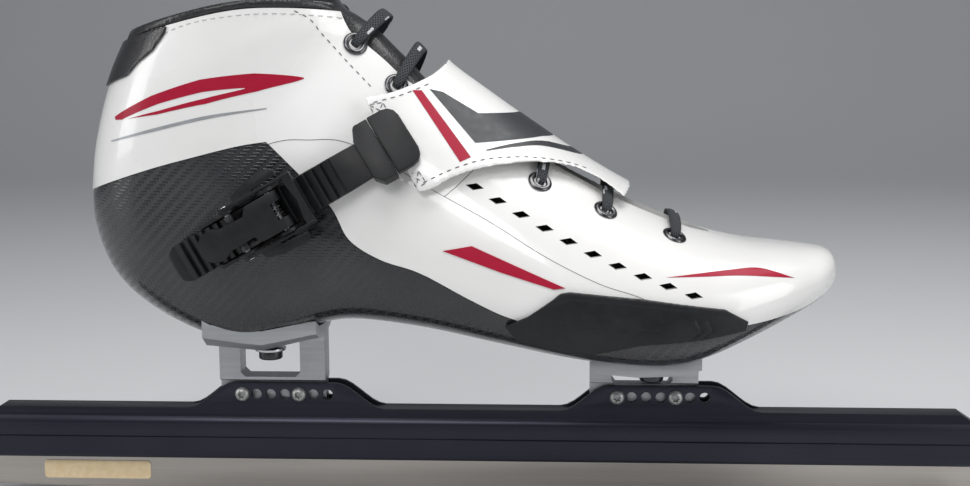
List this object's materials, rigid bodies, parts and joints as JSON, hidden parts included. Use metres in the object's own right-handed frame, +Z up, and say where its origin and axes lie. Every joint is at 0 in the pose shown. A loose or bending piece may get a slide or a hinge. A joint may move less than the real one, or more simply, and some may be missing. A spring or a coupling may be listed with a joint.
{
  "type": "speed skate",
  "caption": "Right-foot speed skate with a low carbon boot, laced throat, instep strap with a ratchet buckle, and a long fixed blade in a flanged tube.",
  "frame": {"origin": "middle of the blade's length and thickness, on its running edge, where the rocker touches the ice", "axes": "+X to the toe, -Y to the outer side of the right foot, +Z up from the ice"},
  "size_m": [0.419, 0.1059, 0.2116],
  "materials": {
    "carbon": "glossy woven carbon laminate",
    "white_upper": "smooth glossy white microfibre",
    "black_leather": "smooth black synthetic leather",
    "foam": "black lining over foam",
    "black_plastic": "moulded black nylon",
    "anodised": "black anodised extrusion",
    "blade_steel": "ground tool steel",
    "blasted_alloy": "blasted grey alloy",
    "bright_steel": "bright fastener steel",
    "dark_steel": "dark plated steel",
    "cream_label": "cream adhesive label",
    "lace_cloth": "dark woven lace with pale flecks"
  },
  "bodies": {
    "boot_and_blade": {"blade_steel": "blade_steel", "blade_label": "cream_label", "blade_tube": "anodised", "rear_cup": "blasted_alloy", "front_cup": "blasted_alloy", "rear_cup_washer": "bright_steel", "front_cup_washer": "bright_steel", "rear_sole_insert": "bright_steel", "front_sole_insert": "bright_steel", "tube_screw_1": "bright_steel", "tube_screw_2": "bright_steel", "tube_screw_3": "bright_steel", "tube_screw_4": "bright_steel", "rear_pin": "bright_steel", "front_pin": "bright_steel", "lever_spring": "bright_steel", "release_spring": "bright_steel", "rear_cup_bolt": "dark_steel", "front_cup_bolt": "dark_steel", "buckle_rivet_1": "dark_steel", "buckle_rivet_2": "dark_steel", "strap_anchor_rivet": "dark_steel", "eyelet_outer_1": "dark_steel", "eyelet_outer_2": "dark_steel", "eyelet_outer_3": "dark_steel", "eyelet_outer_4": "dark_steel", "eyelet_outer_5": "dark_steel", "eyelet_outer_6": "dark_steel", "eyelet_outer_7": "dark_steel", "eyelet_inner_1": "dark_steel", "eyelet_inner_2": "dark_steel", "eyelet_inner_3": "dark_steel", "eyelet_inner_4": "dark_steel", "eyelet_inner_5": "dark_steel", "eyelet_inner_6": "dark_steel", "eyelet_inner_7": "dark_steel", "buckle_base": "black_plastic", "side_bumper_outer": "black_plastic", "side_bumper_inner": "black_plastic", "instep_strap": "white_upper", "quarter_outer": "white_upper", "quarter_inner": "white_upper", "side_panel_outer": "white_upper", "side_panel_inner": "white_upper", "vamp": "white_upper", "carbon_shell": "carbon", "collar_binding": "black_leather", "tongue": "black_leather", "heel_tab": "black_leather", "collar_padding": "foam", "liner": "foam", "footbed": "foam", "lace": "lace_cloth"},
    "ladder": {"ladder_strap": "black_plastic", "ladder_collar": "black_plastic", "strap_cap": "black_plastic"},
    "lever": {"buckle_lever": "black_plastic"},
    "release": {"buckle_release": "black_plastic", "buckle_pawl": "bright_steel"}
  },
  "joints": [
    {"name": "ladder_travel", "type": "hinge", "parent": "boot_and_blade", "child": "ladder", "pos_m": [-0.07231, 0.1796, 0.12532], "axis": [0.4879, 0, -0.8729], "range_deg": [-0.5, 1.5]},
    {"name": "lever_lift", "type": "hinge", "parent": "boot_and_blade", "child": "lever", "pos_m": [-0.0703, -0.0524, 0.12644], "axis": [-0.4879, 0, 0.8729], "range_deg": [0, 75], "stiffness_Nm_per_rad": 0.02, "springref_deg": -17.19},
    {"name": "release_lift", "type": "hinge", "parent": "boot_and_blade", "child": "release", "pos_m": [-0.0854, -0.0524, 0.118], "axis": [0.4879, 0, -0.8729], "range_deg": [0, 20], "stiffness_Nm_per_rad": 0.03, "springref_deg": -17.19}
  ]
}
